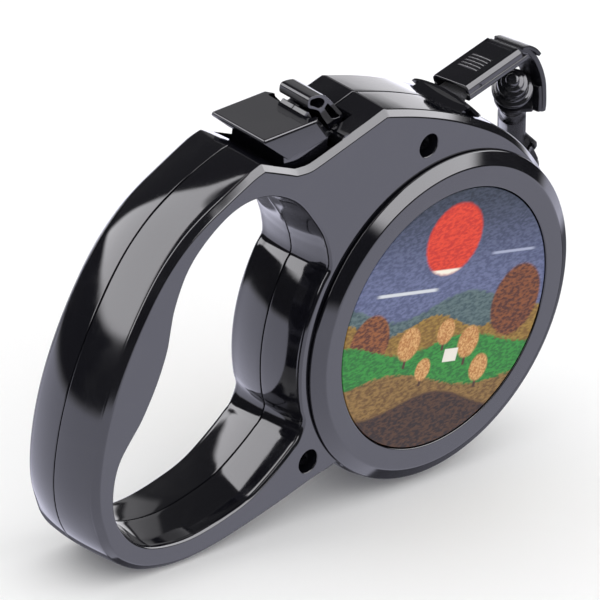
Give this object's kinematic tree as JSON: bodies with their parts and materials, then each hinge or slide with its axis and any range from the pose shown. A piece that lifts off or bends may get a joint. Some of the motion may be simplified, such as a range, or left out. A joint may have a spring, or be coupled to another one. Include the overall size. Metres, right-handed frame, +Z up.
{
  "type": "retractable pet leash",
  "caption": "Retractable tape leash: flat black casing with a hand loop, round printed side covers, a brake button with a lock lever on top, and a swivelling snap hook on the tape's end.",
  "frame": {"origin": "centre of the right printed disc's face, on the tape drum's axis", "axes": "+X from the hand loop towards the tape outlet's end, +Y along the drum's axis to the left side, +Z up towards the brake button"},
  "size_m": [0.2028, 0.048, 0.1321],
  "materials": {
    "right_shell": "high gloss",
    "left_shell": "high gloss",
    "right_cover_ring": "high gloss",
    "left_cover_ring": "high gloss",
    "right_print_disc": "printed and clear coated",
    "left_print_disc": "printed and clear coated",
    "top_case_screw": "plain",
    "rear_case_screw": "plain",
    "axle_screw": "plain",
    "drum_axle": "plain",
    "power_spring": "plain",
    "tape_nozzle": "satin",
    "tape_guide_pin": "plain",
    "tape_lead": "flat woven",
    "lock_lever_pin": "plain",
    "brake_spring": "plain",
    "tape_drum": "satin moulded",
    "drum_flange": "satin moulded",
    "spring_cover": "satin moulded",
    "wound_tape": "flat woven",
    "brake_button": "high gloss",
    "brake_pawl": "satin",
    "lock_lever": "satin",
    "tape_run": "flat woven",
    "clamp_cover": "satin",
    "clamp_base": "satin",
    "clamp_rivet": "plain",
    "stirrup_pin": "plain",
    "swivel_stirrup": "satin",
    "snap_hook_body": "satin",
    "snap_gate_pin": "plain",
    "snap_gate": "satin"
  },
  "bodies": {
    "casing": {"right_shell": "right_shell", "left_shell": "left_shell", "right_cover_ring": "right_cover_ring", "left_cover_ring": "left_cover_ring", "right_print_disc": "right_print_disc", "left_print_disc": "left_print_disc", "top_case_screw": "top_case_screw", "rear_case_screw": "rear_case_screw", "axle_screw": "axle_screw", "drum_axle": "drum_axle", "power_spring": "power_spring", "tape_nozzle": "tape_nozzle", "tape_guide_pin": "tape_guide_pin", "tape_lead": "tape_lead", "lock_lever_pin": "lock_lever_pin", "brake_spring": "brake_spring"},
    "reel": {"tape_drum": "tape_drum", "drum_flange": "drum_flange", "spring_cover": "spring_cover", "wound_tape": "wound_tape"},
    "brake": {"brake_button": "brake_button", "brake_pawl": "brake_pawl"},
    "lock": {"lock_lever": "lock_lever"},
    "tape_end": {"tape_run": "tape_run", "clamp_cover": "clamp_cover", "clamp_base": "clamp_base", "clamp_rivet": "clamp_rivet", "stirrup_pin": "stirrup_pin"},
    "stirrup": {"swivel_stirrup": "swivel_stirrup"},
    "snap": {"snap_hook_body": "snap_hook_body", "snap_gate_pin": "snap_gate_pin"},
    "gate": {"snap_gate": "snap_gate"}
  },
  "joints": [
    {"name": "tape_pull", "type": "slide", "parent": "casing", "child": "tape_end", "axis": [0.9581, 0, 0.2865], "range_m": [0, 0.26389]},
    {"name": "reel_spin", "type": "hinge", "parent": "casing", "child": "reel", "pos_m": [0, 0.0165, 0], "axis": [0, 1, 0], "range_deg": [0, 360]},
    {"name": "brake_press", "type": "slide", "parent": "casing", "child": "brake", "axis": [0, 0, -1], "range_m": [0, 0.0035], "stiffness_N_per_m": 900, "springref_m": -0.001, "deforming": ["brake_spring"]},
    {"name": "lock_lever_tilt", "type": "hinge", "parent": "casing", "child": "lock", "pos_m": [-0.041, 0.0165, 0.0662], "axis": [0, 1, 0], "range_deg": [-4, 14]},
    {"name": "stirrup_swing", "type": "hinge", "parent": "tape_end", "child": "stirrup", "pos_m": [0.02985, 0.0165, 0.06762], "axis": [-0.0498, -0.9848, 0.1664], "range_deg": [0, 70]},
    {"name": "swivel_spin", "type": "hinge", "parent": "stirrup", "child": "snap", "pos_m": [0.03326, 0.01452, 0.05692], "axis": [0.534, 0.435, -0.725], "continuous": true},
    {"name": "gate_open", "type": "hinge", "parent": "snap", "child": "gate", "pos_m": [0.05946, 0.03028, 0.02278], "axis": [0.7438, 0.166, 0.6475], "range_deg": [0, 35], "stiffness_Nm_per_rad": 0.05, "springref_deg": -11.46}
  ],
  "couplings": [
    {"joint": "reel_spin", "follows": "tape_pull", "rad_per_m": 23.809}
  ]
}
